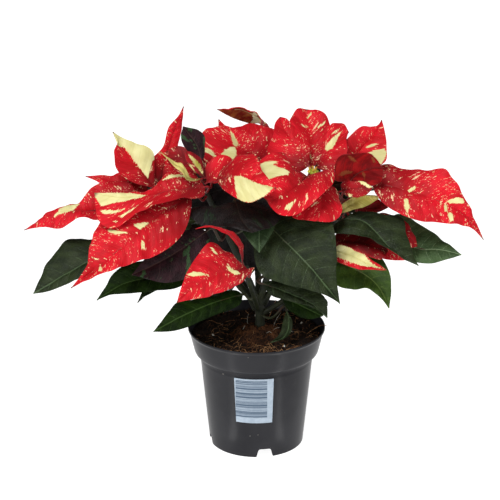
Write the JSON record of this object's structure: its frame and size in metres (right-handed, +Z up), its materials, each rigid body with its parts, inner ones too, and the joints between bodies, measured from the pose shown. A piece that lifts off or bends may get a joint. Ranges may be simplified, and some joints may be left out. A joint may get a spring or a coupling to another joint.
{
  "type": "potted poinsettia",
  "caption": "Potted poinsettia with red and cream bracts over dark green leaves, standing in a dark plastic nursery pot.",
  "frame": {"origin": "on the pot's axis, in the plane that the pot stands on", "axes": "+Z up along the pot's axis, -Y to the front with the label, +X to the right as seen from the front"},
  "size_m": [0.3925, 0.2446, 0.2961],
  "materials": {
    "pot_plastic": "satin",
    "label_paper": "satin",
    "compost": "matte",
    "coir_fibre": "matte",
    "stem_bark": "matte",
    "leaf_green": "satin",
    "leaf_purple": "satin",
    "bract_red": "matte",
    "bract_gold": "matte",
    "cyathium_yellow": "matte"
  },
  "bodies": {
    "root": {"pot": "pot_plastic", "label": "label_paper", "soil": "compost", "fibre_plug": "coir_fibre", "stems": "stem_bark", "cyathia_mid": "cyathium_yellow", "cyathia_centre": "cyathium_yellow", "cyathia_right": "cyathium_yellow", "cyathia_rear": "cyathium_yellow", "shoot_rear_left": "leaf_green", "shoot_rear_right": "leaf_green", "bracts_rear_left": "bract_red", "bracts_rear_right": "bract_red", "bract_left_split": "bract_red", "bract_left_spire": "bract_red", "bract_left_thin": "bract_red", "bract_left_far": "bract_red", "bract_mid_fold": "bract_red", "bract_mid_broad": "bract_red", "leaf_mid_purple": "leaf_purple", "bract_mid_young_gold": "bract_gold", "bract_mid_young_red": "bract_red", "bract_mid_back": "bract_red", "bract_mid_right": "bract_red", "bract_mid_cream": "bract_red", "bract_rear_broad": "bract_red", "bract_rear_curl": "bract_red", "bract_centre_top": "bract_red", "bract_centre_right": "bract_red", "bract_centre_left": "bract_red", "bract_centre_front": "bract_red", "bract_centre_low": "bract_red", "bract_right_crook": "bract_red", "bract_right_shade": "bract_red", "bract_right_broad": "bract_red", "bract_right_small": "bract_red", "bract_right_olive": "bract_gold", "bract_right_under": "bract_red", "bract_lowright_cream": "bract_red", "bract_right_back": "bract_red", "bract_lowright_dark": "bract_red", "bract_lowright_side": "bract_red", "bract_front_low": "bract_red", "bract_front_edge": "bract_red", "leaf_left_far": "leaf_green", "leaf_left_under": "leaf_green", "leaf_left_blotched": "leaf_purple", "leaf_left_hook": "leaf_green", "leaf_front_left": "leaf_green", "leaf_centre_dark": "leaf_purple", "leaf_mid_back": "leaf_purple", "leaf_centre_inner": "leaf_green", "leaf_centre_tip": "leaf_green", "leaf_centre_broad": "leaf_green", "leaf_centre_low": "leaf_green", "leaf_centre_under": "leaf_green", "leaf_soil_curl": "leaf_green", "leaf_right_fold": "leaf_green", "leaf_right_side": "leaf_green", "leaf_right_low": "leaf_green"}
  },
  "joints": []
}
